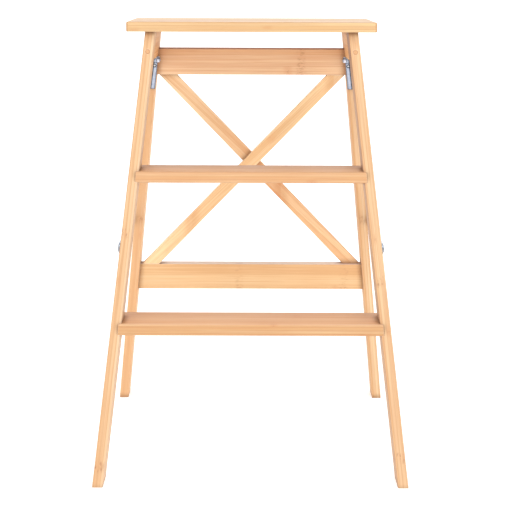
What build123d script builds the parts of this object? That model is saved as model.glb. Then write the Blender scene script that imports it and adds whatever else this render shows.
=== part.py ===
from build123d import *
import os
from math import cos, radians, sin, tan

# A folding bamboo step ladder, open and standing. X runs across the ladder, Y from the front
# feet towards the rear feet, Z up. The origin is on the floor under the middle of the ladder.

# ---- overall size ----
HEIGHT = 700.0
BASE_DEPTH = 529.0
FOOT_HALF_WIDTH = 243.7
SPLAY = tan(radians(5.86))  # how far each side moves in for every millimetre of height
FRONT_LEAN = radians(21.0)
REAR_LEAN = radians(7.0)
SIDE_THICKNESS = 16.4  # stiles, rear legs and cleats, measured level
STILE_DEPTH = 50.0
LEG_DEPTH = 46.0
EDGE_ROUND = 1.5

# ---- top board and treads ----
BOARD_WIDTH = 406.4
BOARD_DEPTH = 222.0
BOARD_THICKNESS = 16.0
BOARD_NOSE = 14.0  # how far the board stands in front of the stiles
BOARD_CORNER = 3.5
BOARD_EDGE = 2.5
TREAD_TOPS = (237.3, 466.2)
TREAD_THICKNESS = 17.8
TREAD_DEPTH = 88.0
TREAD_NOSE = 7.0
TREAD_EDGE = 2.5
HOUSING_DEPTH = 4.2  # how far the tread ends are let into the stiles

# ---- rear frame ----
RAIL_SETBACK = 8.0
RAIL_THICKNESS = 16.0
UPPER_RAIL_BOTTOM = 604.0
UPPER_RAIL_HEIGHT = 45.0
LOWER_RAIL_BOTTOM = 211.8
LOWER_RAIL_HEIGHT = 47.6
RAIL_EDGE = 1.0
BRACE_WIDTH = 22.0
BRACE_THICKNESS = RAIL_THICKNESS / 2
BRACE_CROSSING = 449.6  # height where the two strips cross
BRACE_RUN = 0.9526  # sideways run of a strip for every millimetre of height
BRACE_EDGE = 0.6
DOWEL_RADIUS = 3.0
DOWEL_HALF = 12.0
BRACE_DOWEL_RADIUS = 2.0
BRACE_DOWEL_HALF = 9.0
RAIL_DOWEL_SHARES = (0.28, 0.72)  # where the two dowels stand in a rail's height

# ---- cleats under the board ----
CLEAT_BOTTOM = 636.4
CLEAT_GAP = 0.6  # between the cleat and the rear leg, and between the leg and the board
PLUG_HEIGHT = 652.0
PLUG_RADIUS = 4.0
PLUG_DEPTH = 8.0
COUNTERBORE = 9.0
BOARD_SCREW_OFFSETS = (60.0, 20.0)  # in front of the hinge axis

# ---- wood screws: head radius, shank radius, length ----
TREAD_SCREW = (3.5, 2.0, 40.0)
CLEAT_SCREW = (PLUG_RADIUS, 2.3, 68.0)
BOARD_SCREW = (3.8, 2.0, 46.0)
HINGE_SCREW = (3.0, 1.6, 14.0)
CROSS_LENGTH = 1.1  # the cross recess, as shares of the head's radius and depth
CROSS_WIDTH = 0.26
CROSS_DEPTH = 0.7
TREAD_SCREW_RISE = 1.5  # above the middle of the tread
TREAD_SCREW_INSETS = (16.0, 38.0)  # behind the stile's front edge

# ---- hinges ----
HINGE_HEIGHT = 631.0
BARREL_RADIUS = 5.0
BARREL_STANDOFF = 5.4  # hinge axis to the wood on both sides
LEAF_THICKNESS = 2.0
LEAF_WIDTH = 13.5
LEAF_OVERHANG = 0.5  # past the inner face of the leg
BARREL_OVERHANG = 4.0
CLEAT_LEAF_LENGTH = 40.0
LEG_LEAF_LENGTH = 52.0
LEAF_CORNER = 1.0
CLEAT_LEAF_SCREWS = ((11.0, -2.0), (31.0, 2.0))  # from the hinge axis, from the leaf's middle
LEG_LEAF_SCREWS = ((11.5, -2.4), (27.0, 3.4), (44.0, 3.4))
KNUCKLE_RELIEF = 5.7
KNUCKLE_TAB = 2.0  # how far a knuckle's tab reaches into its leaf
KNUCKLE_LENGTH = 5.0
KNUCKLE_GAP = 0.3
PIN_RADIUS = 2.0
PIN_CLEARANCE = 0.05
PIN_HEAD_RADIUS = 3.2
PIN_HEAD = 1.2

# ---- side stays ----
STAY_HEIGHT = 345.0
STAY_WIDTH = 17.0
STAY_THICKNESS = 2.0
SPOT_FACE = 0.85  # depth of the flat cut into the side for the washer
SPOT_MARGIN = 0.5
WASHER_RADIUS = 7.0
WASHER_THICKNESS = 1.7
BOLT_RADIUS = 3.0
BOLT_THREAD_RADIUS = 2.5
BOLT_THREAD = 11.5
BOLT_HEAD_RADIUS = 6.0
BOLT_HEAD = 2.0
BOLT_DOME = 1.0
BOLT_CLEARANCE = 0.05
LAYER_GAP = 0.1
RIVET_GAP = 0.3  # between the two stay bars
RIVET_RADIUS = 2.6
RIVET_HEAD_RADIUS = 5.0
RIVET_HEAD = 1.6

BOARD_UNDERSIDE = HEIGHT - BOARD_THICKNESS
STILE_LEVEL_DEPTH = STILE_DEPTH / cos(FRONT_LEAN)
LEG_LEVEL_DEPTH = LEG_DEPTH / cos(REAR_LEAN)
PAST = 60.0  # how far cutting shapes reach beyond the piece they cut


def outer_x(height):
    return FOOT_HALF_WIDTH - SPLAY * height


def inner_x(height):
    return outer_x(height) - SIDE_THICKNESS


def stile_front(height):
    return -BASE_DEPTH / 2 + height * tan(FRONT_LEAN)


def stile_back(height):
    return stile_front(height) + STILE_LEVEL_DEPTH


def leg_front(height):
    return BASE_DEPTH / 2 - LEG_LEVEL_DEPTH - height * tan(REAR_LEAN)


def leg_back(height):
    return leg_front(height) + LEG_LEVEL_DEPTH


# The rear frame's own plane: it lies on the front faces of the rear legs, with its x across
# the ladder, its y up along the legs and its normal towards the front.
REAR_PLANE = Plane(
    origin=(0, leg_front(0), 0),
    x_dir=(1, 0, 0),
    z_dir=(0, -cos(REAR_LEAN), -sin(REAR_LEAN)),
)
HINGE_Y = leg_front(HINGE_HEIGHT) - BARREL_STANDOFF / cos(REAR_LEAN)
STAY_FRONT_Y = stile_front(STAY_HEIGHT) + STILE_LEVEL_DEPTH / 2
STAY_REAR_Y = leg_front(STAY_HEIGHT) + LEG_LEVEL_DEPTH / 2
STAY_LENGTH = (STAY_REAR_Y - STAY_FRONT_Y) / 2
STAY_KNEE_Y = STAY_FRONT_Y + STAY_LENGTH
STAY_SEAT_X = outer_x(STAY_HEIGHT) - SPOT_FACE
FRONT_BAR_X = STAY_SEAT_X + WASHER_THICKNESS + LAYER_GAP
REAR_BAR_X = FRONT_BAR_X + STAY_THICKNESS + RIVET_GAP

pieces = {}


def keep(name, part):
    """Labels a finished piece and remembers it for the export."""
    part.label = name
    pieces[name] = part


def keep_pair(name, part):
    """Keeps the right-hand piece and its mirror image on the left."""
    with BuildPart() as left:
        mirror(part, about=Plane.YZ)
    keep("right_" + name, part)
    keep("left_" + name, left.part)


def both_sides(part):
    """One group of separate solids from a right-hand group and its mirror image."""
    with BuildPart() as group:
        add(part)
        mirror(part, about=Plane.YZ)
    return group.part


def splayed_slab(near, far, low, high):
    """A slab that follows the splay of the right side, near and far millimetres out from the
    inner face, between two heights, reaching right through the ladder from front to back."""
    with BuildPart() as slab:
        with BuildSketch(Plane.XZ.offset(-BASE_DEPTH)):
            with BuildLine():
                Polyline(
                    (inner_x(low) + near, low),
                    (inner_x(low) + far, low),
                    (inner_x(high) + far, high),
                    (inner_x(high) + near, high),
                    close=True,
                )
            make_face()
        extrude(amount=2 * BASE_DEPTH)
    return slab.part


def side_member(outline):
    """A piece of the right side from its outline seen from the side."""
    with BuildPart() as member:
        with BuildSketch(Plane.YZ):
            with BuildLine():
                Polyline(*outline, close=True)
            make_face()
        extrude(amount=FOOT_HALF_WIDTH + PAST)
        add(splayed_slab(0, SIDE_THICKNESS, -PAST, HEIGHT + PAST), mode=Mode.INTERSECT)
    return member.part


def screw_body(head_radius, shank_radius, length):
    """A countersunk wood screw with its head's flat at the origin, pointing down -Z."""
    head = head_radius - shank_radius
    with BuildPart() as body:
        with BuildSketch(Plane.XZ):
            with BuildLine():
                Polyline(
                    (0, 0),
                    (head_radius, 0),
                    (shank_radius, -head),
                    (shank_radius, -length + 2 * shank_radius),
                    (0, -length),
                    close=True,
                )
            make_face()
        revolve(axis=Axis.Z)
    return body.part


def screw(head_radius, shank_radius, length):
    """The same screw with a cross recess in its head."""
    with BuildPart() as finished:
        add(screw_body(head_radius, shank_radius, length))
        with BuildSketch():
            Rectangle(head_radius * CROSS_LENGTH, head_radius * CROSS_WIDTH)
            Rectangle(head_radius * CROSS_WIDTH, head_radius * CROSS_LENGTH)
        extrude(amount=-(head_radius - shank_radius) * CROSS_DEPTH, mode=Mode.SUBTRACT)
    return finished.part


def placed(part, planes):
    """Copies of one part standing on each plane, as one group."""
    with BuildPart() as group:
        with Locations(*[plane.location for plane in planes]):
            add(part)
    return group.part


# ---- top board ----
with BuildPart() as top_board:
    with BuildSketch(Plane.XY.offset(BOARD_UNDERSIDE)):
        with Locations((0, stile_front(BOARD_UNDERSIDE) - BOARD_NOSE + BOARD_DEPTH / 2)):
            RectangleRounded(BOARD_WIDTH, BOARD_DEPTH, BOARD_CORNER)
    extrude(amount=BOARD_THICKNESS)
    fillet(top_board.faces().sort_by(Axis.Z)[-1].edges(), BOARD_EDGE)
    fillet(top_board.faces().sort_by(Axis.Z)[0].edges(), EDGE_ROUND)


def tread(top):
    """A tread whose sloping ends are let into the stiles."""
    bottom = top - TREAD_THICKNESS
    front = stile_front(top) - TREAD_NOSE
    with BuildPart() as board:
        with BuildSketch(Plane.XZ.offset(-front)):
            with BuildLine():
                Polyline(
                    (inner_x(bottom) + HOUSING_DEPTH, bottom),
                    (inner_x(top) + HOUSING_DEPTH, top),
                    (-inner_x(top) - HOUSING_DEPTH, top),
                    (-inner_x(bottom) - HOUSING_DEPTH, bottom),
                    close=True,
                )
            make_face()
        extrude(amount=-TREAD_DEPTH)
        fillet(board.edges().filter_by(Axis.X), TREAD_EDGE)
    return board.part


lower_tread = tread(TREAD_TOPS[0])
upper_tread = tread(TREAD_TOPS[1])

# ---- fasteners of the front frame ----
# The tread screws stand square to the sloping outer faces, two at each tread end.
tread_screw_planes = []
for top in TREAD_TOPS:
    middle = top - TREAD_THICKNESS / 2 + TREAD_SCREW_RISE
    for inset in TREAD_SCREW_INSETS:
        tread_screw_planes.append(
            Plane(
                origin=(outer_x(middle), stile_front(middle) + inset, middle),
                x_dir=(0, 1, 0),
                z_dir=(1, 0, SPLAY),
            )
        )
tread_screw_holes = placed(screw_body(*TREAD_SCREW), tread_screw_planes)
tread_screws = placed(screw(*TREAD_SCREW), tread_screw_planes)

# The cleat screws run level from the stiles' front faces, under a wooden plug.
PLUG_X = outer_x(PLUG_HEIGHT) - SIDE_THICKNESS / 2
CLEAT_SCREW_Y = stile_front(PLUG_HEIGHT) + PLUG_DEPTH
cleat_screw_plane = Plane(origin=(PLUG_X, CLEAT_SCREW_Y, PLUG_HEIGHT), x_dir=(1, 0, 0), z_dir=(0, -1, 0))
cleat_screw_hole = placed(screw_body(*CLEAT_SCREW), [cleat_screw_plane])
cleat_screw = placed(screw(*CLEAT_SCREW), [cleat_screw_plane])
with BuildPart() as plug_hole:
    with BuildSketch(cleat_screw_plane):
        Circle(PLUG_RADIUS)
    extrude(amount=PAST)
with BuildPart() as screw_plug:
    with BuildSketch(cleat_screw_plane):
        Circle(PLUG_RADIUS)
    extrude(amount=PLUG_DEPTH + PLUG_RADIUS)
    split(
        bisect_by=Plane(
            origin=(0, stile_front(PLUG_HEIGHT), PLUG_HEIGHT),
            z_dir=(0, -cos(FRONT_LEAN), sin(FRONT_LEAN)),
        ),
        keep=Keep.BOTTOM,
    )

# The board screws come up through the cleats from counterbores.
board_screw_planes = []
for offset in BOARD_SCREW_OFFSETS:
    board_screw_planes.append(
        Plane(
            origin=(PLUG_X, HINGE_Y - offset, CLEAT_BOTTOM + COUNTERBORE),
            x_dir=(1, 0, 0),
            z_dir=(0, 0, -1),
        )
    )
board_screw_holes = placed(screw_body(*BOARD_SCREW), board_screw_planes)
board_screws = placed(screw(*BOARD_SCREW), board_screw_planes)
with BuildPart() as counterbores:
    for plane in board_screw_planes:
        with BuildSketch(plane):
            Circle(BOARD_SCREW[0])
        extrude(amount=COUNTERBORE)

# ---- hinge screws ----
CLEAT_LEAF_BOTTOM = CLEAT_BOTTOM - LEAF_THICKNESS
CLEAT_LEAF_X = inner_x(CLEAT_BOTTOM) - LEAF_OVERHANG + LEAF_WIDTH / 2
cleat_leaf_planes = []
for offset, shift in CLEAT_LEAF_SCREWS:
    cleat_leaf_planes.append(
        Plane(
            origin=(CLEAT_LEAF_X + shift, HINGE_Y - offset, CLEAT_LEAF_BOTTOM),
            x_dir=(1, 0, 0),
            z_dir=(0, 0, -1),
        )
    )
HINGE_V = (REAR_PLANE.to_local_coords(Vector(0, HINGE_Y, HINGE_HEIGHT))).Y
leg_leaf_planes = []
for down, shift in LEG_LEAF_SCREWS:
    height = HINGE_HEIGHT - down * cos(REAR_LEAN)
    leg_leaf_planes.append(
        Plane(
            origin=REAR_PLANE.from_local_coords(
                Vector(
                    inner_x(height) - LEAF_OVERHANG + LEAF_WIDTH / 2 + shift,
                    HINGE_V - down,
                    LEAF_THICKNESS,
                )
            ),
            x_dir=(1, 0, 0),
            z_dir=REAR_PLANE.z_dir,
        )
    )
cleat_leaf_screw_holes = placed(screw_body(*HINGE_SCREW), cleat_leaf_planes)
cleat_leaf_screws = placed(screw(*HINGE_SCREW), cleat_leaf_planes)
leg_leaf_screw_holes = placed(screw_body(*HINGE_SCREW), leg_leaf_planes)
leg_leaf_screws = placed(screw(*HINGE_SCREW), leg_leaf_planes)


# ---- stay pivots ----
def stay_bolt(pivot_y, bar_x):
    """A shouldered pivot bolt along X through the bar at bar_x, with a domed head outside."""
    head_x = bar_x + STAY_THICKNESS + LAYER_GAP
    with BuildPart() as bolt:
        with BuildSketch(Plane.XY):
            with BuildLine():
                Polyline(
                    (STAY_SEAT_X - BOLT_THREAD, 0),
                    (STAY_SEAT_X - BOLT_THREAD, BOLT_THREAD_RADIUS),
                    (STAY_SEAT_X, BOLT_THREAD_RADIUS),
                    (STAY_SEAT_X, BOLT_RADIUS),
                    (head_x, BOLT_RADIUS),
                    (head_x, BOLT_HEAD_RADIUS),
                    (head_x + BOLT_HEAD - BOLT_DOME, BOLT_HEAD_RADIUS),
                    (head_x + BOLT_HEAD, BOLT_HEAD_RADIUS / 2),
                    (head_x + BOLT_HEAD, 0),
                    close=True,
                )
            make_face()
        revolve(axis=Axis.X)
    return placed(bolt.part, [Plane(origin=(0, pivot_y, STAY_HEIGHT))])


def stay_washer(pivot_y, radius, thickness):
    """The washer or bush between the wood and a stay bar."""
    with BuildPart() as washer:
        with BuildSketch(Plane.YZ.offset(STAY_SEAT_X)):
            with Locations((pivot_y, STAY_HEIGHT)):
                Circle(radius)
                Circle(BOLT_RADIUS, mode=Mode.SUBTRACT)
        extrude(amount=thickness)
    return washer.part


def stay_seat(pivot_y):
    """What is cut out of the wood for one stay pivot: the flat seat and the bolt's hole."""
    with BuildPart() as cut:
        with BuildSketch(Plane.YZ.offset(STAY_SEAT_X)):
            with Locations((pivot_y, STAY_HEIGHT)):
                Circle(WASHER_RADIUS + SPOT_MARGIN)
        extrude(amount=PAST)
        with BuildSketch(Plane.YZ.offset(STAY_SEAT_X)):
            with Locations((pivot_y, STAY_HEIGHT)):
                Circle(BOLT_THREAD_RADIUS)
        extrude(amount=-BOLT_THREAD)
    return cut.part


def stay_bar(pivot_y, knee_y, bar_x):
    """A flat stay bar with round ends, its pivot hole at one end and its rivet hole at the other."""
    with BuildPart() as bar:
        with BuildSketch(Plane.YZ.offset(bar_x)):
            with Locations(((pivot_y + knee_y) / 2, STAY_HEIGHT)):
                SlotCenterToCenter(STAY_LENGTH, STAY_WIDTH)
            with Locations((pivot_y, STAY_HEIGHT)):
                Circle(BOLT_RADIUS + BOLT_CLEARANCE, mode=Mode.SUBTRACT)
            with Locations((knee_y, STAY_HEIGHT)):
                Circle(RIVET_RADIUS, mode=Mode.SUBTRACT)
        extrude(amount=STAY_THICKNESS)
    return bar.part


def stay_rivet(bar_x, outward):
    """Half of the rivet at the knee, fixed in one bar, with its head on the free side."""
    head_face = bar_x + STAY_THICKNESS if outward > 0 else bar_x
    with BuildPart() as rivet:
        with BuildSketch(Plane.YZ.offset(bar_x)):
            with Locations((STAY_KNEE_Y, STAY_HEIGHT)):
                Circle(RIVET_RADIUS)
        extrude(amount=STAY_THICKNESS)
        with BuildSketch(Plane.YZ.offset(head_face)):
            with Locations((STAY_KNEE_Y, STAY_HEIGHT)):
                Circle(RIVET_HEAD_RADIUS)
        extrude(amount=outward * RIVET_HEAD)
        fillet(rivet.edges().group_by(Axis.X)[-1 if outward > 0 else 0], RIVET_HEAD / 2)
    return rivet.part


# ---- stiles ----
with BuildPart() as right_stile:
    add(
        side_member(
            (
                (stile_front(0), 0),
                (stile_back(0), 0),
                (stile_back(BOARD_UNDERSIDE), BOARD_UNDERSIDE),
                (stile_front(BOARD_UNDERSIDE), BOARD_UNDERSIDE),
            )
        )
    )
    fillet(right_stile.edges().filter_by(lambda e: e.length > BOARD_UNDERSIDE), EDGE_ROUND)
    add(lower_tread, mode=Mode.SUBTRACT)
    add(upper_tread, mode=Mode.SUBTRACT)
    add(tread_screw_holes, mode=Mode.SUBTRACT)
    add(cleat_screw_hole, mode=Mode.SUBTRACT)
    add(plug_hole.part, mode=Mode.SUBTRACT)
    add(stay_seat(STAY_FRONT_Y), mode=Mode.SUBTRACT)

# ---- cleats ----
with BuildPart() as right_cleat:
    add(
        side_member(
            (
                (stile_back(CLEAT_BOTTOM), CLEAT_BOTTOM),
                (leg_front(CLEAT_BOTTOM) - CLEAT_GAP, CLEAT_BOTTOM),
                (leg_front(BOARD_UNDERSIDE) - CLEAT_GAP, BOARD_UNDERSIDE),
                (stile_back(BOARD_UNDERSIDE), BOARD_UNDERSIDE),
            )
        )
    )
    fillet(right_cleat.faces().sort_by(Axis.Z)[0].edges().filter_by(Axis.Y), EDGE_ROUND / 2)
    add(cleat_screw_hole, mode=Mode.SUBTRACT)
    add(board_screw_holes, mode=Mode.SUBTRACT)
    add(counterbores.part, mode=Mode.SUBTRACT)
    add(cleat_leaf_screw_holes, mode=Mode.SUBTRACT)

with BuildPart() as drilled_board:
    add(top_board.part)
    add(both_sides(board_screw_holes), mode=Mode.SUBTRACT)

both_tread_holes = both_sides(tread_screw_holes)
with BuildPart() as drilled_lower_tread:
    add(lower_tread)
    add(both_tread_holes, mode=Mode.SUBTRACT)
with BuildPart() as drilled_upper_tread:
    add(upper_tread)
    add(both_tread_holes, mode=Mode.SUBTRACT)


# ---- rails and braces of the rear frame ----
def rail_v(height):
    """How far up the rear frame's own plane a rail edge at this height lies."""
    return (height + RAIL_SETBACK * -sin(REAR_LEAN)) / cos(REAR_LEAN)


def rail_blank(bottom, height):
    """A rail between the rear legs, its ends cut to their sloping inner faces."""
    low = rail_v(bottom)
    with BuildPart() as rail:
        with BuildSketch(REAR_PLANE.offset(-RAIL_SETBACK)):
            with Locations((0, low + height / 2)):
                Rectangle(2 * FOOT_HALF_WIDTH + PAST, height)
        extrude(amount=-RAIL_THICKNESS)
        fillet(rail.edges().filter_by(Axis.X), RAIL_EDGE)
        with BuildSketch(Plane.XZ.offset(-BASE_DEPTH)):
            with BuildLine():
                Polyline(
                    (inner_x(bottom - PAST), bottom - PAST),
                    (inner_x(bottom + 2 * PAST), bottom + 2 * PAST),
                    (-inner_x(bottom + 2 * PAST), bottom + 2 * PAST),
                    (-inner_x(bottom - PAST), bottom - PAST),
                    close=True,
                )
            make_face()
        extrude(amount=2 * BASE_DEPTH, mode=Mode.INTERSECT)
    return rail.part


BRACE_LOW = rail_v(LOWER_RAIL_BOTTOM) + LOWER_RAIL_HEIGHT
BRACE_HIGH = rail_v(UPPER_RAIL_BOTTOM)
BRACE_MID = rail_v(BRACE_CROSSING)
RUN_IN_PLANE = BRACE_RUN * cos(REAR_LEAN)
BRACE_HALF_LEVEL = BRACE_WIDTH / 2 * (1 + RUN_IN_PLANE**2) ** 0.5


def brace_x(v):
    """Sideways position of the strip that rises to the right, at v up the rear frame."""
    return (v - BRACE_MID) * RUN_IN_PLANE


def brace_blank(side, layer):
    """One strip of the cross: side +1 rises to the right and -1 to the left."""
    with BuildPart() as strip:
        with BuildSketch(REAR_PLANE.offset(-RAIL_SETBACK - layer * BRACE_THICKNESS)):
            with BuildLine():
                Polyline(
                    (side * brace_x(BRACE_LOW) - BRACE_HALF_LEVEL, BRACE_LOW),
                    (side * brace_x(BRACE_LOW) + BRACE_HALF_LEVEL, BRACE_LOW),
                    (side * brace_x(BRACE_HIGH) + BRACE_HALF_LEVEL, BRACE_HIGH),
                    (side * brace_x(BRACE_HIGH) - BRACE_HALF_LEVEL, BRACE_HIGH),
                    close=True,
                )
            make_face()
        extrude(amount=-BRACE_THICKNESS)
        fillet(strip.edges().filter_by(lambda e: e.length > UPPER_RAIL_BOTTOM / 2), BRACE_EDGE)
    return strip.part


def brace_dowel_group(side, layer):
    """The two dowels that hold one strip's ends to the rails' edges."""
    depth = -RAIL_SETBACK - (layer + 0.5) * BRACE_THICKNESS
    with BuildPart() as group:
        for v in (BRACE_LOW, BRACE_HIGH):
            foot = REAR_PLANE.from_local_coords(
                Vector(side * brace_x(v), v - BRACE_DOWEL_HALF, depth)
            )
            with BuildSketch(Plane(origin=foot, x_dir=(1, 0, 0), z_dir=REAR_PLANE.y_dir)):
                Circle(BRACE_DOWEL_RADIUS)
            extrude(amount=2 * BRACE_DOWEL_HALF)
    return group.part


with BuildPart() as brace_dowels:
    add(brace_dowel_group(1, 0))
    add(brace_dowel_group(-1, 1))

RAILS = (
    (UPPER_RAIL_BOTTOM, UPPER_RAIL_HEIGHT),
    (LOWER_RAIL_BOTTOM, LOWER_RAIL_HEIGHT),
)
with BuildPart() as right_rail_dowels:
    for bottom, height in RAILS:
        for share in RAIL_DOWEL_SHARES:
            v = rail_v(bottom) + share * height
            depth = -RAIL_SETBACK - RAIL_THICKNESS / 2
            centre = REAR_PLANE.from_local_coords(Vector(0, v, depth))
            with BuildSketch(Plane.YZ.offset(inner_x(centre.Z) - DOWEL_HALF)):
                with Locations((centre.Y, centre.Z)):
                    Circle(DOWEL_RADIUS)
            extrude(amount=2 * DOWEL_HALF)

rail_dowels = both_sides(right_rail_dowels.part)

with BuildPart() as upper_rail:
    add(rail_blank(*RAILS[0]))
    add(rail_dowels, mode=Mode.SUBTRACT)
    add(brace_dowels.part, mode=Mode.SUBTRACT)
with BuildPart() as lower_rail:
    add(rail_blank(*RAILS[1]))
    add(rail_dowels, mode=Mode.SUBTRACT)
    add(brace_dowels.part, mode=Mode.SUBTRACT)
with BuildPart() as front_brace:
    add(brace_blank(1, 0))
    add(brace_dowels.part, mode=Mode.SUBTRACT)
with BuildPart() as rear_brace:
    add(brace_blank(-1, 1))
    add(brace_dowels.part, mode=Mode.SUBTRACT)

# ---- rear legs ----
LEG_TOP = BOARD_UNDERSIDE - CLEAT_GAP
with BuildPart() as right_rear_leg:
    add(
        side_member(
            (
                (leg_front(0), 0),
                (leg_back(0), 0),
                (leg_back(LEG_TOP), LEG_TOP),
                (leg_front(LEG_TOP), LEG_TOP),
            )
        )
    )
    fillet(right_rear_leg.edges().filter_by(lambda e: e.length > LEG_TOP), EDGE_ROUND)
    add(rail_dowels, mode=Mode.SUBTRACT)
    add(leg_leaf_screw_holes, mode=Mode.SUBTRACT)
    add(stay_seat(STAY_REAR_Y), mode=Mode.SUBTRACT)


# ---- hinges ----
BARREL_START = inner_x(HINGE_HEIGHT) - BARREL_OVERHANG
BARREL_END = inner_x(HINGE_HEIGHT) - LEAF_OVERHANG + LEAF_WIDTH
OUTER_KNUCKLES = (
    (BARREL_START, BARREL_START + KNUCKLE_LENGTH),
    (BARREL_END - KNUCKLE_LENGTH, BARREL_END),
)
MIDDLE_KNUCKLE = (
    BARREL_START + KNUCKLE_LENGTH + KNUCKLE_GAP,
    BARREL_END - KNUCKLE_LENGTH - KNUCKLE_GAP,
)


def knuckle(start, end):
    """A solid knuckle of the hinge barrel from start to end across the ladder."""
    with BuildPart() as body:
        with BuildSketch(Plane.YZ.offset(start)):
            with Locations((HINGE_Y, HINGE_HEIGHT)):
                Circle(BARREL_RADIUS)
        extrude(amount=end - start)
    return body.part


def pin_bore(radius):
    """A cylinder along the hinge axis, longer than the barrel."""
    with BuildPart() as bore:
        with BuildSketch(Plane.YZ.offset(BARREL_START - PAST / 2)):
            with Locations((HINGE_Y, HINGE_HEIGHT)):
                Circle(radius)
        extrude(amount=BARREL_END - BARREL_START + PAST)
    return bore.part


leaf_slab = splayed_slab(-LEAF_OVERHANG, LEAF_WIDTH - LEAF_OVERHANG, HINGE_HEIGHT - PAST, HEIGHT)

with BuildPart() as cleat_leaf:
    with BuildSketch(Plane.XY.offset(CLEAT_LEAF_BOTTOM)):
        with Locations((inner_x(CLEAT_BOTTOM), HINGE_Y - (CLEAT_LEAF_LENGTH + KNUCKLE_RELIEF) / 2)):
            RectangleRounded(2 * PAST, CLEAT_LEAF_LENGTH - KNUCKLE_RELIEF, LEAF_CORNER)
    extrude(amount=LEAF_THICKNESS)
    add(leaf_slab, mode=Mode.INTERSECT)
    for start, end in OUTER_KNUCKLES:
        with BuildSketch(Plane.XY.offset(CLEAT_LEAF_BOTTOM)):
            with Locations(((start + end) / 2, HINGE_Y - (KNUCKLE_RELIEF + KNUCKLE_TAB) / 2)):
                Rectangle(end - start, KNUCKLE_RELIEF + KNUCKLE_TAB)
        extrude(amount=LEAF_THICKNESS)
        add(knuckle(start, end))
    add(pin_bore(PIN_RADIUS), mode=Mode.SUBTRACT)
    add(cleat_leaf_screw_holes, mode=Mode.SUBTRACT)

with BuildPart() as leg_leaf:
    with BuildSketch(REAR_PLANE):
        with Locations((inner_x(HINGE_HEIGHT), HINGE_V - (LEG_LEAF_LENGTH + KNUCKLE_RELIEF) / 2)):
            Rectangle(2 * PAST, LEG_LEAF_LENGTH - KNUCKLE_RELIEF)
    extrude(amount=LEAF_THICKNESS)
    add(leaf_slab, mode=Mode.INTERSECT)
    with BuildSketch(REAR_PLANE):
        with Locations((sum(MIDDLE_KNUCKLE) / 2, HINGE_V - (KNUCKLE_RELIEF + KNUCKLE_TAB) / 2)):
            Rectangle(MIDDLE_KNUCKLE[1] - MIDDLE_KNUCKLE[0], KNUCKLE_RELIEF + KNUCKLE_TAB)
    extrude(amount=LEAF_THICKNESS)
    add(knuckle(*MIDDLE_KNUCKLE))
    add(pin_bore(PIN_RADIUS + PIN_CLEARANCE), mode=Mode.SUBTRACT)
    add(leg_leaf_screw_holes, mode=Mode.SUBTRACT)

with BuildPart() as hinge_pin:
    with BuildSketch(Plane.YZ.offset(BARREL_START)):
        with Locations((HINGE_Y, HINGE_HEIGHT)):
            Circle(PIN_RADIUS)
    extrude(amount=BARREL_END - BARREL_START)
    for face_x, outward in ((BARREL_START, -1), (BARREL_END, 1)):
        with BuildSketch(Plane.YZ.offset(face_x)):
            with Locations((HINGE_Y, HINGE_HEIGHT)):
                Circle(PIN_HEAD_RADIUS)
        extrude(amount=outward * PIN_HEAD)
    fillet(hinge_pin.edges().group_by(Axis.X)[0], PIN_HEAD / 2)
    fillet(hinge_pin.edges().group_by(Axis.X)[-1], PIN_HEAD / 2)

# ---- everything that is kept ----
keep("top_board", drilled_board.part)
keep("lower_tread", drilled_lower_tread.part)
keep("upper_tread", drilled_upper_tread.part)
keep_pair("stile", right_stile.part)
keep_pair("cleat", right_cleat.part)
keep("tread_screws", both_sides(tread_screws))
keep("cleat_screws", both_sides(cleat_screw))
keep("screw_plugs", both_sides(screw_plug.part))
keep("board_screws", both_sides(board_screws))
keep_pair("rear_leg", right_rear_leg.part)
keep("upper_rail", upper_rail.part)
keep("lower_rail", lower_rail.part)
keep("front_brace", front_brace.part)
keep("rear_brace", rear_brace.part)
keep("rail_dowels", rail_dowels)
keep("brace_dowels", brace_dowels.part)
keep_pair("hinge_cleat_leaf", cleat_leaf.part)
keep_pair("hinge_leg_leaf", leg_leaf.part)
keep_pair("hinge_pin", hinge_pin.part)
keep("hinge_cleat_screws", both_sides(cleat_leaf_screws))
keep("hinge_leg_screws", both_sides(leg_leaf_screws))
keep("front_stay_bolts", both_sides(stay_bolt(STAY_FRONT_Y, FRONT_BAR_X)))
keep("rear_stay_bolts", both_sides(stay_bolt(STAY_REAR_Y, REAR_BAR_X)))
keep(
    "front_stay_washers",
    both_sides(stay_washer(STAY_FRONT_Y, WASHER_RADIUS, WASHER_THICKNESS)),
)
keep(
    "rear_stay_bushes",
    both_sides(stay_washer(STAY_REAR_Y, BOLT_HEAD_RADIUS, REAR_BAR_X - LAYER_GAP - STAY_SEAT_X)),
)
keep_pair("front_stay", stay_bar(STAY_FRONT_Y, STAY_KNEE_Y, FRONT_BAR_X))
keep_pair("front_stay_rivet", stay_rivet(FRONT_BAR_X, -1))
keep_pair("rear_stay", stay_bar(STAY_REAR_Y, STAY_KNEE_Y, REAR_BAR_X))
keep_pair("rear_stay_rivet", stay_rivet(REAR_BAR_X, 1))

os.makedirs("parts", exist_ok=True)
for name, part in pieces.items():
    export_step(part, f"parts/{name}.step")
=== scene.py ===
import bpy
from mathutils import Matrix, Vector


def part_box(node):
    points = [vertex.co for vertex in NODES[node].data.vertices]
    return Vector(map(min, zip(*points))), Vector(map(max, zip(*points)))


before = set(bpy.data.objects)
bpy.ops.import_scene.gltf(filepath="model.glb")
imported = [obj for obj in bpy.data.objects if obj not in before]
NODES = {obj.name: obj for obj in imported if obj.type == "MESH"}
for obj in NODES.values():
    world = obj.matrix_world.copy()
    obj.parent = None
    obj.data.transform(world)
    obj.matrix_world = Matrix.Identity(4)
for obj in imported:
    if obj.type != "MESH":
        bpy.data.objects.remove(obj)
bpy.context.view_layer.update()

import math
import random
from collections import namedtuple

import bpy
from mathutils import Matrix, Vector

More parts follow.
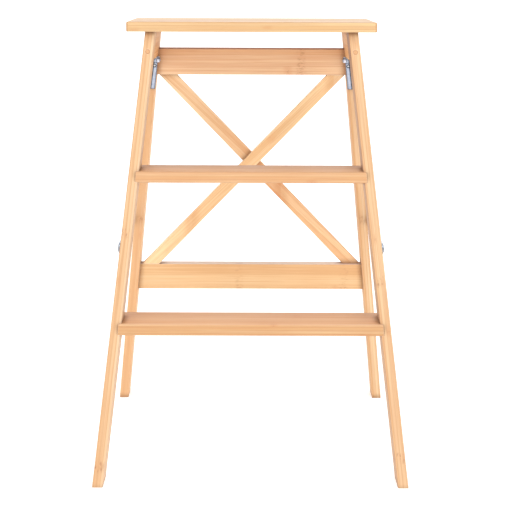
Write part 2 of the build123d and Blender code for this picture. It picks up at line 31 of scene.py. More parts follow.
MM = 1000.0  # materials work in millimetres
SEED = 7
SHIFT_RANGE = (400.0, 900.0)  # each material's pattern is shifted, so that no two are alike
random.seed(SEED)

# ---------------------------------------------------------------- directions
FRONT_TAN = math.tan(math.radians(21.0))  # how far the stiles lean back
REAR_TAN = math.tan(math.radians(7.0))  # how far the rear legs lean forward
SPLAY_TAN = math.tan(math.radians(5.86))  # how far both spread sideways
ACROSS = (1.0, 0.0, 0.0)
BACK = (0.0, 1.0, 0.0)
UP = (0.0, 0.0, 1.0)
DOWN = (0.0, 0.0, -1.0)
REAR_UP = (0.0, -REAR_TAN, 1.0)
SIDES = (("left", -1.0), ("right", 1.0))

# ---------------------------------------------------------------- node tree helper
NOISE_LOW, NOISE_HIGH = 0.3, 0.7  # nearly all values of a noise texture lie between these
NOISE_ROUGH = 0.6


class Tree:
    """A short way to write a material's node tree."""

    def __init__(self, name):
        self.material = bpy.data.materials.new(name)
        self.material.use_nodes = True
        self.nodes = self.material.node_tree.nodes
        self.links = self.material.node_tree.links
        self.nodes.clear()
        self.shader = self.add("ShaderNodeBsdfPrincipled")
        output = self.add("ShaderNodeOutputMaterial")
        self.link(self.shader.outputs[0], output.inputs["Surface"])

    def add(self, kind, **settings):
        node = self.nodes.new(kind)
        for key, value in settings.items():
            setattr(node, key, value)
        return node

    def link(self, source, target):
        self.links.new(source, target)

    def feed(self, node, index, value):
        """Gives an input a link or a plain value. None leaves it as it is."""
        if isinstance(value, bpy.types.NodeSocket):
            self.link(value, node.inputs[index])
        elif value is not None:
            node.inputs[index].default_value = value

    def math(self, operation, a, b=None, clamp=False):
        node = self.add("ShaderNodeMath", operation=operation, use_clamp=clamp)
        self.feed(node, 0, a)
        self.feed(node, 1, b)
        return node.outputs[0]

    def plus(self, a, b, clamp=False):
        return self.math("ADD", a, b, clamp)

    def minus(self, a, b):
        return self.math("SUBTRACT", a, b)

    def times(self, a, b):
        return self.math("MULTIPLY", a, b)

    def larger(self, a, b):
        return self.math("MAXIMUM", a, b)

    def size(self, value):
        return self.math("ABSOLUTE", value)

    def vector_math(self, operation, a, b=None, output="Vector"):
        node = self.add("ShaderNodeVectorMath", operation=operation)
        self.feed(node, 0, a)
        self.feed(node, 1, b)
        return node.outputs[output]

    def stretch(self, vector, factors):
        return self.vector_math("MULTIPLY", vector, factors)

    def dot(self, a, b):
        return self.vector_math("DOT_PRODUCT", a, b, "Value")

    def combine(self, x, y, z):
        node = self.add("ShaderNodeCombineXYZ")
        for index, value in enumerate((x, y, z)):
            self.feed(node, index, value)
        return node.outputs[0]

    def separate(self, vector):
        node = self.add("ShaderNodeSeparateXYZ")
        self.link(vector, node.inputs[0])
        return node.outputs

    def noise(self, vector, scale, detail, rough=NOISE_ROUGH, distortion=0.0):
        node = self.add("ShaderNodeTexNoise")
        self.link(vector, node.inputs["Vector"])
        node.inputs["Scale"].default_value = scale
        node.inputs["Detail"].default_value = detail
        node.inputs["Roughness"].default_value = rough
        node.inputs["Distortion"].default_value = distortion
        return node.outputs["Fac"]

    def white(self, vector):
        node = self.add("ShaderNodeTexWhiteNoise", noise_dimensions="3D")
        self.link(vector, node.inputs["Vector"])
        return node.outputs["Value"]

    def map_range(self, kind, value, levels):
        node = self.add("ShaderNodeMapRange", interpolation_type=kind)
        self.link(value, node.inputs[0])
        for index, level in enumerate(levels, start=1):
            node.inputs[index].default_value = level
        return node.outputs[0]

    def smooth(self, value, low, high, out_low=0.0, out_high=1.0):
        return self.map_range("SMOOTHSTEP", value, (low, high, out_low, out_high))

    def linear(self, value, low, high, out_low=0.0, out_high=1.0):
        return self.map_range("LINEAR", value, (low, high, out_low, out_high))

    def spread(self, noise, out_low, out_high):
        """A noise value, spread evenly between two levels."""
        return self.linear(noise, NOISE_LOW, NOISE_HIGH, out_low, out_high)

    def ramp(self, value, stops):
        node = self.add("ShaderNodeValToRGB")
        self.link(value, node.inputs[0])
        elements = node.color_ramp.elements
        while len(elements) < len(stops):
            elements.new(0.5)
        for element, (position, colour) in zip(elements, stops):
            element.position = position
            element.color = (*colour, 1.0)
        return node.outputs[0]

    def mix(self, factor, a, b, blend="MIX"):
        node = self.add("ShaderNodeMix", data_type="RGBA", blend_type=blend)
        self.feed(node, 0, factor)
        for index, value in ((6, a), (7, b)):
            if isinstance(value, tuple):
                value = (*value, 1.0)
            self.feed(node, index, value)
        return node.outputs[2]

    def cover(self, colour, mask, strength, over, blend="MIX"):
        """Lays one colour over another where the mask is up."""
        return self.mix(self.times(mask, strength), colour, over, blend)

    def relief(self, height, strength, depth):
        bump = self.add("ShaderNodeBump")
        bump.inputs["Strength"].default_value = strength
        bump.inputs["Distance"].default_value = depth
        self.link(height, bump.inputs["Height"])
        self.link(bump.outputs[0], self.shader.inputs["Normal"])


def srgb(red, green, blue):
    """A colour given as 0 to 255 display values, as linear light."""
    channels = []
    for value in (red, green, blue):
        value /= 255.0
        if value <= 0.04045:
            channels.append(value / 12.92)
        else:
            channels.append(((value + 0.055) / 1.055) ** 2.4)
    return tuple(channels)


FLAT, FULL_EDGE = 1.0, 0.82  # agreement of the bevelled normal with the true one


def edge_mask(tree, radius):
    """1 on edges, 0 on flat faces, from how far a bevelled normal leaves the true one."""
    bevel = tree.add("ShaderNodeBevel", samples=4)
    bevel.inputs["Radius"].default_value = radius
    geometry = tree.add("ShaderNodeNewGeometry")
    agreement = tree.dot(bevel.outputs[0], geometry.outputs["Normal"])
    return tree.linear(agreement, FLAT, FULL_EDGE)


def crevice_mask(tree, reach, open_level, shut_level):
    """0 on open faces, 1 deep in corners and gaps."""
    occlusion = tree.add("ShaderNodeAmbientOcclusion", samples=6)
    occlusion.inputs["Distance"].default_value = reach
    return tree.linear(occlusion.outputs["AO"], open_level, shut_level)


def oriented(tree, along, across):
    """Object coordinates in millimetres, turned so that the first runs along the piece, and
    shifted by a random amount. Gives the coordinate node, the point, the turn and the shift."""
    along = Vector(along).normalized()
    across = Vector(across)
    across = (across - along * across.dot(along)).normalized()
    turn = Matrix((along, across, along.cross(across))).to_euler("XYZ")
    shift = [random.uniform(*SHIFT_RANGE) for _ in range(3)]
    coords = tree.add("ShaderNodeTexCoord")
    place = tree.add("ShaderNodeMapping")
    tree.link(coords.outputs["Object"], place.inputs["Vector"])
    place.inputs["Scale"].default_value = (MM, MM, MM)
    place.inputs["Rotation"].default_value = turn
    place.inputs["Location"].default_value = shift
    return coords, place.outputs[0], turn, shift


# ---------------------------------------------------------------- bamboo: its values
Edge = namedtuple("Edge", "colour strength width")
Finish = namedtuple("Finish", "sheen rough_low rough_high")
# Painted light and shade on the faces that look one way, with one strength below HEIGHTS and one above.
PaintedFaceTone = namedtuple("PaintedFaceTone", "towards below above colour blend", defaults=("MIX",))
# Painted shade along the piece, growing from a start to an end, measured in one direction.
Run = namedtuple("Run", "towards start end strength colour blend", defaults=("MIX",))
HEIGHTS = (0.56, 0.66)

STRIP = 20.5  # width of one bamboo strip on a broad face
BRACE_STRIP = 11.0  # the same on the crossed strips of the rear frame
LAYER = 5.4  # thickness of one pressed layer
SEAM_OUTER, SEAM_INNER = 0.45, 0.08  # from the glue line to where a seam starts and is full
TONE_SEED, SHIFT_SEED, KIND_SEED = 3.7, 11.3, 27.9  # keep a strip's three random values apart

# Noise drawn out along the fibres: squeeze, scale, detail and distortion.
STREAKS = {
    "coarse": (0.012, 0.30, 3.0, 0.15),
    "fine": (0.010, 1.5, 2.0, 0.0),
    "hairs": (0.008, 0.85, 2.0, 0.0),
    "broad": (0.35, 0.012, 2.0, 0.0),
    "wave": (0.12, 0.35, 2.0, 0.0),
    "dashes": (0.28, 0.42, 2.0, 0.0),
}
HAIR_RANGE = (0.60, 0.72)
DASH_RANGE = (0.50, 0.66)

NODE_PITCH = 470.0  # between two growth nodes of a cane
NODE_SCATTER = 5.0  # pitches over which the canes are shifted against one another
NODE_RIPPLE = 3.0  # how far the line of a growth node wanders
NODE_SHARE = (0.50, 0.62)  # strips above this random value show a growth node
NODE_HALO, NODE_CORE = (12.0, 2.0), (1.8, 0.3)  # distances where halo and core start and are full
NODE_CORE_STRENGTH = 0.55
MARK_REACH = (11.0, 2.0)  # the same for the nodes at given levels
MARK_SHARE = (0.0, 0.7, 0.35, 1.0)
MARK_HALO = 0.45

BUNDLE_SCALE = 0.95  # fibre bundles per millimetre of end grain
BUNDLE_RANGE = (0.38, 0.14)
END_WOOD, END_BUNDLE = srgb(206, 152, 100), srgb(146, 92, 52)
END_STRENGTH = 0.8
END_FROM = (0.55, 0.85)  # how squarely a face has to cut the fibres to show end grain
BOARD_END_FROM = (0.05, 0.30)

CELL_TONES = (0.05, 0.95)
COARSE_CONTRAST, BROAD_CONTRAST = 0.34, 0.18
HONEY = (
    (0.00, srgb(211, 158, 106)),
    (0.25, srgb(220, 172, 121)),
    (0.50, srgb(224, 180, 128)),
    (0.75, srgb(222, 180, 133)),
    (1.00, srgb(233, 198, 148)),
)
FINE_COLOUR = srgb(208, 144, 90)
FINE_RANGE = (0.35, 0.75, 0.0, 0.30)
HAIR = (0.34, srgb(186, 118, 70))  # strength and colour, as in the next four
HALO = (0.26, srgb(206, 138, 88))
CORE = (0.55, srgb(150, 88, 56))
SEAM = (0.38, srgb(184, 118, 68))
# painted shade, laid into corners and gaps where shade falls
CORNER_SHADE = (0.62, srgb(116, 70, 42))
# pale edges: wear, and also a painted highlight where the rounded edges catch the light
EDGE_WEAR_AND_HIGHLIGHT = Edge(srgb(252, 226, 194), 0.50, 0.0015)
PLUG_EDGE = Edge(srgb(166, 106, 66), 0.80, 0.0036)

LOOKS_RANGE = (0.30, 0.75)  # how squarely a face has to look the painted way
FACE_TONE_MOTTLE, RUN_MOTTLE = (0.75, 1.0), (0.85, 1.0)
CORNER_REACH, STILE_CORNER_REACH = 0.011, 0.008
CORNER_OPEN, CORNER_SHUT = 0.93, 0.45

BARE = Finish(0.22, 0.50, 0.64)
TREAD_FINISH = Finish(0.26, 0.44, 0.58)
BOARD_FINISH = Finish(0.55, 0.36, 0.46)
ROUGH_END, ROUGH_CORNER = 0.20, 0.12
SEAM_DEPTH, HAIR_DEPTH, BUNDLE_DEPTH = 0.55, 0.35, 0.8
WOOD_RELIEF = (0.35, 0.00022)
NO_TINT = (1.0, 1.0, 1.0)


# ---------------------------------------------------------------- bamboo: its parts
def streaks(tree, point, kind):
    squeeze, scale, detail, distortion = STREAKS[kind]
    return tree.noise(tree.stretch(point, (squeeze, 1.0, 1.0)), scale, detail, NOISE_ROUGH, distortion)


def seam(tree, position, size):
    """1 on the glue lines between strips or layers of one size."""
    from_middle = tree.size(tree.minus(tree.math("FRACT", position), 0.5))
    return tree.smooth(from_middle, 0.5 - SEAM_OUTER / size, 0.5 - SEAM_INNER / size)


def cells(tree, v, w, strip):
    """Strips side by side in pressed layers: three random values of each, and the seams."""
    strip_at = tree.math("DIVIDE", v, strip)
    layer_at = tree.math("DIVIDE", w, LAYER)
    strip_no = tree.math("FLOOR", strip_at)
    layer_no = tree.math("FLOOR", layer_at)
    tone = tree.white(tree.combine(strip_no, layer_no, TONE_SEED))
    shift = tree.white(tree.combine(layer_no, strip_no, SHIFT_SEED))
    kind = tree.white(tree.combine(layer_no, strip_no, KIND_SEED))
    seams = tree.larger(seam(tree, strip_at, strip), seam(tree, layer_at, LAYER))
    return tone, shift, kind, seams


def growth_nodes(tree, point, wave, cell_shift, cell_kind, levels):
    """A soft halo and a broken dark core across some strips, each at a place of its own, and
    across most strips at the given levels."""
    u = tree.separate(point)[0]
    ripple = tree.spread(wave, -NODE_RIPPLE, NODE_RIPPLE)
    cane_at = tree.plus(tree.math("DIVIDE", u, NODE_PITCH), tree.times(cell_shift, NODE_SCATTER))
    from_node = tree.times(tree.minus(tree.math("FRACT", cane_at), 0.5), NODE_PITCH)
    gap = tree.size(tree.plus(from_node, ripple))
    shown = tree.smooth(cell_kind, *NODE_SHARE)
    halo = tree.times(tree.smooth(gap, *NODE_HALO), shown)
    core = tree.times(tree.smooth(gap, *NODE_CORE), tree.times(shown, NODE_CORE_STRENGTH))
    for level in levels:
        gap = tree.size(tree.plus(tree.minus(u, level), ripple))
        near = tree.times(tree.smooth(gap, *MARK_REACH), tree.smooth(cell_kind, *MARK_SHARE))
        halo = tree.larger(halo, tree.times(near, MARK_HALO))
        core = tree.larger(core, near)
    dashes = streaks(tree, point, "dashes")
    return halo, tree.times(core, tree.smooth(dashes, *DASH_RANGE))


def fibre_bundles(tree, v, w):
    """The cut ends of the fibre bundles, as dots in the end grain."""
    dots = tree.add("ShaderNodeTexVoronoi", feature="F1")
    tree.link(tree.combine(0.0, v, w), dots.inputs["Vector"])
    dots.inputs["Scale"].default_value = BUNDLE_SCALE
    return tree.smooth(dots.outputs["Distance"], *BUNDLE_RANGE)


def end_mask(tree, coords, turn, end_from):
    """1 on the faces that cut the fibres."""
    facing = tree.add("ShaderNodeMapping")
    tree.link(coords.outputs["Normal"], facing.inputs["Vector"])
    facing.inputs["Rotation"].default_value = turn
    end_normal = tree.separate(facing.outputs[0])[0]
    return tree.smooth(tree.size(end_normal), *end_from)


# painted light and shade on the faces that look one way
def paint_face_tone(tree, colour, coords, wave, face_tone):
    looks = tree.smooth(tree.dot(coords.outputs["Normal"], face_tone.towards), *LOOKS_RANGE)
    looks = tree.times(looks, tree.spread(wave, *FACE_TONE_MOTTLE))
    height = tree.dot(coords.outputs["Object"], UP)
    strength = tree.linear(height, *HEIGHTS, face_tone.below, face_tone.above)
    return tree.cover(colour, looks, strength, face_tone.colour, face_tone.blend)


# painted shade that grows along the piece
def paint_run(tree, colour, coords, wave, run):
    run_shade = tree.linear(tree.dot(coords.outputs["Object"], run.towards), run.start, run.end)
    run_shade = tree.times(run_shade, tree.spread(wave, *RUN_MOTTLE))
    return tree.cover(colour, run_shade, run.strength, run.colour, run.blend)


def bamboo(name, along, across, strip=STRIP, tint=NO_TINT, marks=(), face_tone=None, run=None,
           finish=BARE, edge=EDGE_WEAR_AND_HIGHLIGHT, reach=CORNER_REACH, end_from=END_FROM):
    """Laminated bamboo. Its fibres run along one direction, with strips side by side across it
    and pressed layers through the thickness. marks are points whose level along the fibres
    carries a growth node. reach is how far from a corner its painted shade lies."""
    tree = Tree(name)
    coords, point, turn, shift = oriented(tree, along, across)
    levels = [Vector(mark).dot(Vector(along).normalized()) + shift[0] for mark in marks]
    _, v, w = tree.separate(point)
    cell_tone, cell_shift, cell_kind, seams = cells(tree, v, w, strip)
    coarse = streaks(tree, point, "coarse")
    fine = streaks(tree, point, "fine")
    broad = streaks(tree, point, "broad")
    wave = streaks(tree, point, "wave")
    hairs = tree.smooth(streaks(tree, point, "hairs"), *HAIR_RANGE)
    halo, core = growth_nodes(tree, point, wave, cell_shift, cell_kind, levels)
    end_grain = end_mask(tree, coords, turn, end_from)
    bundles = fibre_bundles(tree, v, w)

    tone = tree.linear(cell_tone, 0.0, 1.0, *CELL_TONES)
    tone = tree.plus(tone, tree.spread(coarse, -COARSE_CONTRAST, COARSE_CONTRAST))
    tone = tree.plus(tone, tree.spread(broad, -BROAD_CONTRAST, BROAD_CONTRAST), clamp=True)
    colour = tree.ramp(tone, HONEY)
    colour = tree.mix(tree.linear(fine, *FINE_RANGE), colour, FINE_COLOUR)
    for mask, layer in ((hairs, HAIR), (halo, HALO), (core, CORE), (seams, SEAM)):
        colour = tree.cover(colour, mask, *layer)
    colour = tree.cover(colour, end_grain, END_STRENGTH, tree.mix(bundles, END_WOOD, END_BUNDLE))
    # edge colour; on the pale edges it is wear and also a painted highlight
    colour = tree.cover(colour, edge_mask(tree, edge.width), edge.strength, edge.colour)
    if face_tone:
        colour = paint_face_tone(tree, colour, coords, wave, face_tone)
    if run:
        colour = paint_run(tree, colour, coords, wave, run)
    # painted shade: the colour darkens in corners and gaps, where shade falls
    shut = crevice_mask(tree, reach, CORNER_OPEN, CORNER_SHUT)
    colour = tree.cover(colour, shut, *CORNER_SHADE)
    tree.link(tree.mix(1.0, colour, tint, "MULTIPLY"), tree.shader.inputs["Base Color"])

    rough = tree.spread(fine, finish.rough_low, finish.rough_high)
    rough = tree.plus(rough, tree.times(end_grain, ROUGH_END))
    rough = tree.plus(rough, tree.times(shut, ROUGH_CORNER))
    tree.link(rough, tree.shader.inputs["Roughness"])
    tree.shader.inputs["Specular IOR Level"].default_value = finish.sheen
    height = tree.minus(fine, tree.times(seams, SEAM_DEPTH))
    height = tree.minus(height, tree.times(hairs, HAIR_DEPTH))
    height = tree.minus(height, tree.times(tree.times(bundles, end_grain), BUNDLE_DEPTH))
    tree.relief(height, *WOOD_RELIEF)
    return tree.material


# ---------------------------------------------------------------- metal: its values
ZINC_TONES = ((0.25, srgb(158, 174, 200)), (0.50, srgb(182, 196, 218)), (0.75, srgb(200, 208, 218)))
ZINC_CLOUD = (0.22, 3.0, 0.55, 0.3)  # scale, detail, roughness and distortion
ZINC_LINES = (3.0, 3.0)  # scale and detail of the rolling lines
ZINC_SPECKS = (2.6, 2.0)
LINE_SQUEEZE = (0.05, 1.0, 1.0)
LINE_COLOUR, LINE_STRENGTH = srgb(150, 156, 168), 0.25
SPECK = (0.25, srgb(120, 124, 132))
SPECK_RANGE = (0.62, 0.72)
# painted shade on the rims of the metal parts, standing in for dark reflections
RIM_SHADE, RIM_SHADE_STRENGTH = srgb(48, 54, 68), 0.92
RIM = 0.0019  # width of a rim with painted shade
# painted shade in the gaps of the metal parts
GAP_SHADE, GAP_PAINT_STRENGTH = srgb(30, 32, 38), 0.85
GAP_REACH, GAP_OPEN, GAP_SHUT = 0.005, 0.90, 0.50
ZINC_ROUGH, LINE_ROUGH = (0.24, 0.36), (0.0, 0.10)
ZINC_RELIEF = (0.25, 0.00008)
STEEP = 0.9  # above this share of upright, a direction counts as standing

# The leg leaf of a hinge. Distances from its middle are in millimetres, positive outward.
LEAF_MIDDLE = 0.23355  # how far out the middle is, taken down to the floor along the leg
LEAF_HEIGHT = 0.6025
STREAK_LEAN = 0.04  # how much more than the leg the streak leans, about LEAF_HEIGHT
STREAK_INNER, STREAK_OUTER = (-1.4, -0.2), (2.8, 1.6)
STREAK_MOTTLE = (0.35, 0.65, 0.75, 1.0)
SHADED_RIM, SHADED_RIM_STRENGTH = (-4.4, -6.0), 0.60
# painted highlights on the hinge screw heads
HEAD_GLINT_RADIUS = (1.7, 0.9)
HEAD_GLINT = (0.95, srgb(252, 253, 255))


# ---------------------------------------------------------------- metal: its parts
def leaf_painted_shade(tree, coords, cloud, direction, level):
    """Painted shade: a dark streak on one side of a leg leaf's middle and a shaded rim on the other."""
    side = tree.times(tree.minus(tree.dot(coords.outputs["Object"], direction), level), MM)
    mottled = tree.linear(cloud, *STREAK_MOTTLE)
    streak = tree.times(tree.smooth(side, *STREAK_INNER), tree.smooth(side, *STREAK_OUTER))
    shaded_rim = tree.times(tree.smooth(side, *SHADED_RIM), SHADED_RIM_STRENGTH)
    return tree.times(tree.larger(streak, shaded_rim), mottled)


def paint_head_glints(tree, colour, coords, spots):
    """Painted highlights on screw heads, given as distance from the leaf's middle and height."""
    x, _, z = tree.separate(tree.stretch(coords.outputs["Object"], (MM, MM, MM)))
    out = tree.plus(tree.size(x), tree.times(z, SPLAY_TAN))
    for side, height in spots:
        from_side = tree.minus(out, LEAF_MIDDLE * MM + side)
        away = tree.combine(from_side, 0.0, tree.minus(z, height))
        distance = tree.vector_math("LENGTH", away, output="Value")
        colour = tree.cover(colour, tree.smooth(distance, *HEAD_GLINT_RADIUS), *HEAD_GLINT)
    return colour


def zinc(name, along, dark=1.0, cast=NO_TINT, edge=RIM_SHADE, rim=RIM, gap=GAP_SHADE, metal=1.0,
         streak=None, spots=()):
    """Zinc plate on pressed steel: fine rolling lines, a cloudy bluish film, painted shade on the
    rims and in the gaps, with a painted highlight in the gaps where their colour is bright. streak
    is (direction, level) of a leg leaf's middle, beside which shade is painted, spots are the
    places of painted highlights on its screw heads."""
    across = UP if abs(Vector(along).normalized().z) < STEEP else BACK
    tree = Tree(name)
    coords, point, _, _ = oriented(tree, along, across)
    lines = tree.noise(tree.stretch(point, LINE_SQUEEZE), *ZINC_LINES)
    cloud = tree.noise(point, *ZINC_CLOUD)
    specks = tree.smooth(tree.noise(point, *ZINC_SPECKS), *SPECK_RANGE)
    tones = []
    for position, base in ZINC_TONES:
        tones.append((position, tuple(c * dark * k for c, k in zip(base, cast))))
    colour = tree.ramp(cloud, tones)
    colour = tree.mix(tree.spread(lines, 0.0, LINE_STRENGTH), colour, LINE_COLOUR)
    colour = tree.cover(colour, specks, *SPECK)
    # painted shade on the rims
    colour = tree.cover(colour, edge_mask(tree, rim), RIM_SHADE_STRENGTH, edge)
    # painted shade along the leg leaf
    if streak:
        colour = tree.cover(colour, leaf_painted_shade(tree, coords, cloud, *streak), RIM_SHADE_STRENGTH, edge)
    # painted shade in the gaps, and a painted highlight where the colour given for them is bright
    shut = crevice_mask(tree, GAP_REACH, GAP_OPEN, GAP_SHUT)
    colour = tree.cover(colour, shut, GAP_PAINT_STRENGTH, gap)
    if spots:
        # painted highlights on the screw heads
        colour = paint_head_glints(tree, colour, coords, spots)
    tree.link(colour, tree.shader.inputs["Base Color"])
    tree.shader.inputs["Metallic"].default_value = metal
    rough = tree.plus(tree.spread(cloud, *ZINC_ROUGH), tree.spread(lines, *LINE_ROUGH))
    tree.link(rough, tree.shader.inputs["Roughness"])
    tree.relief(lines, *ZINC_RELIEF)
    return tree.material


def dress(node, material):
    """Gives a CAD node its material in every slot."""
    mesh = NODES[node].data
    mesh.materials.clear()
    mesh.materials.append(material)


# ---------------------------------------------------------------- the wooden pieces
# How light and how warm each piece is against the common honey colour: partly each piece's own tone, and
# partly painted light and shade, as lighter and darker copies of one material stand in for how the light
# falls on each piece.
PIECE_TONE_AND_LIGHT = {
    "left_stile": (0.93, 1.04, 1.27),
    "right_stile": (0.86, 0.865, 0.965),
    "left_rear_leg": (1.06, 1.16, 1.35),
    "right_rear_leg": (0.92, 0.98, 1.13),
    "top_board": (0.842, 0.862, 0.847),
    "upper_tread": (0.832, 0.785, 0.823),
    "lower_tread": (0.793, 0.758, 0.769),
    "upper_rail": (1.05, 1.08, 1.30),
    "lower_rail": (1.005, 1.117, 1.273),
    "front_brace": (1.17, 1.40, 1.70),
    "rear_brace": (1.17, 1.45, 1.92),
    "screw_plugs": (1.0, 1.10, 1.34),
}
# Painted light and shade: the first colour is painted shade on the stiles' inner faces and the upper
# rail's top, the second painted shade towards the back of the treads, the third a painted sheen on the
# lower rail's top.
SHADE_BROWN, TREAD_SHADE, PALE_SHEEN = srgb(156, 118, 98), srgb(156, 122, 108), srgb(214, 204, 200)

# Growth nodes, in millimetres: heights on the stiles, and one point that serves both legs.
STILE_NODES = {"left": (30.0, 372.0), "right": (44.0, 300.0)}
LEG_NODE = (0.0, 178.3, 325.0)
STILE_FOOT_OUT, STILE_FOOT_FRONT = 243.7, -264.5  # outer front corner of a stile on the floor
STILE_INNER_SHADE = {"left": (0.12, 0.0), "right": (0.42, 0.90)}  # painted shade on the inner face, below and above


def on_stile(sign, height):
    """The point of a stile's front edge at a height."""
    return (sign * (STILE_FOOT_OUT - SPLAY_TAN * height), FRONT_TAN * height + STILE_FOOT_FRONT, height)


for side, sign in SIDES:
    stile, leg, cleat = side + "_stile", side + "_rear_leg", side + "_cleat"
    stile_up = (-sign * SPLAY_TAN, FRONT_TAN, 1.0)
    leg_up = (-sign * SPLAY_TAN, -REAR_TAN, 1.0)
    nodes_at = [on_stile(sign, height) for height in STILE_NODES[side]]
    # painted shade on each stile's inner face
    inner_shade = PaintedFaceTone((-sign, 0.0, 0.0), *STILE_INNER_SHADE[side], SHADE_BROWN)
    dress(stile, bamboo(side + "_stile_wood", stile_up, BACK, marks=nodes_at, tint=PIECE_TONE_AND_LIGHT[stile],
                        face_tone=inner_shade, reach=STILE_CORNER_REACH))
    dress(leg, bamboo(side + "_leg_wood", leg_up, BACK, marks=(LEG_NODE,), tint=PIECE_TONE_AND_LIGHT[leg]))
    dress(cleat, bamboo(side + "_cleat_wood", BACK, UP))

dress("top_board", bamboo("top_board_wood", ACROSS, BACK, tint=PIECE_TONE_AND_LIGHT["top_board"],
                          finish=BOARD_FINISH, end_from=BOARD_END_FROM))

# Treads: strength of the painted shade towards the back, and the painted light on the top of the lower
# one.
LIT_TOP = PaintedFaceTone(UP, 1.0, 1.0, (1.19, 1.19, 1.26), "MULTIPLY")
TREADS = {"upper_tread": (0.60, None), "lower_tread": (0.30, LIT_TOP)}
UNSHADED_FRONT = 0.012  # depth of a tread's front part that stays without painted shade
for node, (strength, lit) in TREADS.items():
    lo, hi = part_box(node)
    painted_tone = Run(BACK, lo[1] + UNSHADED_FRONT, hi[1], strength, TREAD_SHADE)
    dress(node, bamboo(node + "_wood", ACROSS, BACK, tint=PIECE_TONE_AND_LIGHT[node], face_tone=lit, run=painted_tone,
                       finish=TREAD_FINISH))

# Rails: how far to the side their growth nodes are, and the colour on the top edge: painted shade on the
# upper rail, a painted sheen on the lower one.
RAILS = {
    "upper_rail": ((86.0,), PaintedFaceTone(UP, 0.85, 0.85, SHADE_BROWN)),
    "lower_rail": ((-21.0, 170.0), PaintedFaceTone(UP, 0.50, 0.50, PALE_SHEEN)),
}
for node, (places, painted_tone) in RAILS.items():
    marks = [(place, 0.0, 0.0) for place in places]
    dress(node, bamboo(node + "_wood", ACROSS, REAR_UP, tint=PIECE_TONE_AND_LIGHT[node], marks=marks, face_tone=painted_tone))

# Crossed strips: which way each rises, and the painted shade on the lower half of the rear one.
DARK_LOWER_HALF = Run(DOWN, -0.56, -0.42, 1.0, (0.85, 0.66, 0.53), "MULTIPLY")
BRACES = {"front_brace": (1.0, None), "rear_brace": (-1.0, DARK_LOWER_HALF)}
for node, (rise, darker) in BRACES.items():
    lo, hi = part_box(node)
    brace_up = ((hi[0] - lo[0]) * rise, -(hi[1] - lo[1]), hi[2] - lo[2])
    dress(node, bamboo(node + "_wood", brace_up, REAR_UP, strip=BRACE_STRIP, tint=PIECE_TONE_AND_LIGHT[node], run=darker))

dress("screw_plugs", bamboo("plug_wood", BACK, UP, tint=PIECE_TONE_AND_LIGHT["screw_plugs"], edge=PLUG_EDGE))
for node in ("rail_dowels", "brace_dowels"):
    dress(node, bamboo(node + "_wood", ACROSS, UP))

# ---------------------------------------------------------------- the metal pieces
LEG_LEAF = {"dark": 1.10, "rim": 0.0026}
CLEAT_LEAF = {"dark": 1.6, "rim": 0.0010, "cast": (1.15, 1.05, 0.95)}
PIN = {"dark": 1.2, "rim": 0.0008, "edge": srgb(96, 102, 112)}
STAY = {"dark": 1.2, "edge": srgb(120, 126, 130)}
BOLT = {"dark": 1.35, "rim": 0.0010, "cast": (1.32, 1.10, 0.86), "edge": srgb(196, 188, 176)}
# Screws: blackened heads; the bright colour in the recess is wear where the driver has bitten, and also a
# painted highlight.
BLACKENED = {"dark": 0.06, "edge": srgb(34, 38, 50), "gap": srgb(248, 250, 254), "metal": 0.10}
HINGE_SCREWS = ((-2.4, 620.0), (3.4, 604.6), (3.4, 587.7))

for side, sign in SIDES:
    # painted shade streak along each leg leaf
    streak = ((sign, 0.0, SPLAY_TAN + STREAK_LEAN), LEAF_MIDDLE + STREAK_LEAN * LEAF_HEIGHT)
    dress(side + "_hinge_leg_leaf", zinc(side + "_leg_leaf_zinc", REAR_UP, streak=streak, **LEG_LEAF))
    dress(side + "_hinge_cleat_leaf", zinc(side + "_cleat_leaf_zinc", BACK, **CLEAT_LEAF))
    dress(side + "_hinge_pin", zinc(side + "_pin_zinc", ACROSS, **PIN))
    for bar in (side + "_front_stay", side + "_rear_stay"):
        dress(bar, zinc(bar + "_zinc", BACK, **STAY))
        dress(bar + "_rivet", zinc(bar + "_rivet_zinc", ACROSS))

bolt_zinc = zinc("bolt_zinc", ACROSS, **BOLT)
for node in ("front_stay_bolts", "rear_stay_bolts", "front_stay_washers", "rear_stay_bushes"):
    dress(node, bolt_zinc)
screw_steel = zinc("screw_steel", UP, **BLACKENED)
for node in ("tread_screws", "cleat_screws", "board_screws", "hinge_cleat_screws"):
    dress(node, screw_steel)
# hinge screws with painted highlights on their heads
dress("hinge_leg_screws", zinc("glinting_screw_steel", UP, spots=HINGE_SCREWS, **BLACKENED))

# ---------------------------------------------------------------- studio
STUDIO_COLOUR, STUDIO_GLOW, STUDIO_ROUGH = (0.90, 0.90, 0.90), 0.45, 0.9
STUDIO_CLOUD = (1.3, 2.0, 0.5)  # scale, detail and roughness of its faint clouds
CLOUD_STRENGTH, CLOUD_SHADE = 0.05, 0.9
SWEEP_SIDE = 5.0
FLOOR_NEAR, FLOOR_BACK, BACKDROP_RISE, CURVE = -4.0, 3.0, 4.0, 1.2
CURVE_STEPS = 12
AIR_COLOUR, AIR_STRENGTH = (1.0, 1.0, 1.0, 1.0), 0.70


def studio_white():
    tree = Tree("studio_white")
    coords = tree.add("ShaderNodeTexCoord")
    cloud = tree.noise(coords.outputs["Object"], *STUDIO_CLOUD)
    cloudy = tree.spread(cloud, 0.0, CLOUD_STRENGTH)
    shade = tree.mix(cloudy, STUDIO_COLOUR, tuple(c * CLOUD_SHADE for c in STUDIO_COLOUR))
    tree.link(shade, tree.shader.inputs["Base Color"])
    tree.link(shade, tree.shader.inputs["Emission Color"])
    tree.shader.inputs["Emission Strength"].default_value = STUDIO_GLOW
    tree.shader.inputs["Roughness"].default_value = STUDIO_ROUGH
    return tree.material


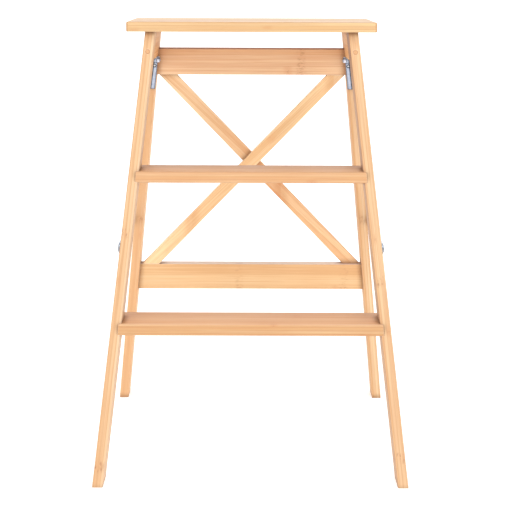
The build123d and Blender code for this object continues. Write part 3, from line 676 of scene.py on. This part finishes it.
profile = [(FLOOR_NEAR, 0.0), (FLOOR_BACK - CURVE, 0.0)]
for step in range(1, CURVE_STEPS + 1):
    angle = math.radians(90.0 * step / CURVE_STEPS)
    profile.append((FLOOR_BACK - CURVE + CURVE * math.sin(angle), CURVE - CURVE * math.cos(angle)))
profile.append((FLOOR_BACK, BACKDROP_RISE))
corners, faces = [], []
for y, z in profile:
    corners += [(-SWEEP_SIDE, y, z), (SWEEP_SIDE, y, z)]
for index in range(len(profile) - 1):
    first = 2 * index
    faces.append((first, first + 1, first + 3, first + 2))
sweep_mesh = bpy.data.meshes.new("studio_sweep")
sweep_mesh.from_pydata(corners, [], faces)
sweep_mesh.polygons.foreach_set("use_smooth", [True] * len(faces))
sweep = bpy.data.objects.new("studio_sweep", sweep_mesh)
bpy.context.collection.objects.link(sweep)
sweep_mesh.materials.append(studio_white())

world = bpy.data.worlds.new("studio_air")
bpy.context.scene.world = world
world.use_nodes = True
air = world.node_tree.nodes["Background"]
air.inputs["Color"].default_value = AIR_COLOUR
air.inputs["Strength"].default_value = AIR_STRENGTH

# Softboxes: place, what each aims at, width and depth in metres, power in watts.
SOFTBOXES = {
    "key_left": ((-3.7, -4.0, 1.60), (0.0, 0.0, 0.35), (3.2, 3.2), 64.0),
    "key_right": ((3.7, -4.0, 1.60), (0.0, 0.0, 0.35), (3.2, 3.2), 70.0),
    "top": ((0.0, -1.6, 3.4), (0.0, 0.0, 0.3), (3.0, 2.4), 56.0),
}
for name, (place, aim, (width, depth), power) in SOFTBOXES.items():
    light = bpy.data.lights.new(name, "AREA")
    light.shape = "RECTANGLE"
    light.size = width
    light.size_y = depth
    light.energy = power
    lamp = bpy.data.objects.new(name, light)
    bpy.context.collection.objects.link(lamp)
    lamp.location = place
    lamp.rotation_euler = (Vector(aim) - Vector(place)).to_track_quat("-Z", "Y").to_euler()

# ---------------------------------------------------------------- camera
FOCAL_PIXELS, FRAME_PIXELS, SENSOR = 1440.0, 510.0, 36.0
CAMERA_PLACE = Vector((-0.0031, -2.3700, 0.7753))
PITCH, YAW, ROLL = 0.1923, 0.0042, -0.0040
ahead = Vector((math.sin(YAW) * math.cos(PITCH), math.cos(YAW) * math.cos(PITCH), -math.sin(PITCH)))
level_right = Vector((math.cos(YAW), -math.sin(YAW), 0.0))
level_up = level_right.cross(ahead)
right = math.cos(ROLL) * level_right - math.sin(ROLL) * level_up
up = math.sin(ROLL) * level_right + math.cos(ROLL) * level_up
camera_data = bpy.data.cameras.new("camera")
camera_data.sensor_width = SENSOR
camera_data.lens = SENSOR * FOCAL_PIXELS / FRAME_PIXELS
camera = bpy.data.objects.new("camera", camera_data)
bpy.context.collection.objects.link(camera)
camera.matrix_world = Matrix.Translation(CAMERA_PLACE) @ Matrix((right, up, -ahead)).transposed().to_4x4()
bpy.context.scene.camera = camera
bpy.context.scene.view_settings.view_transform = "Standard"
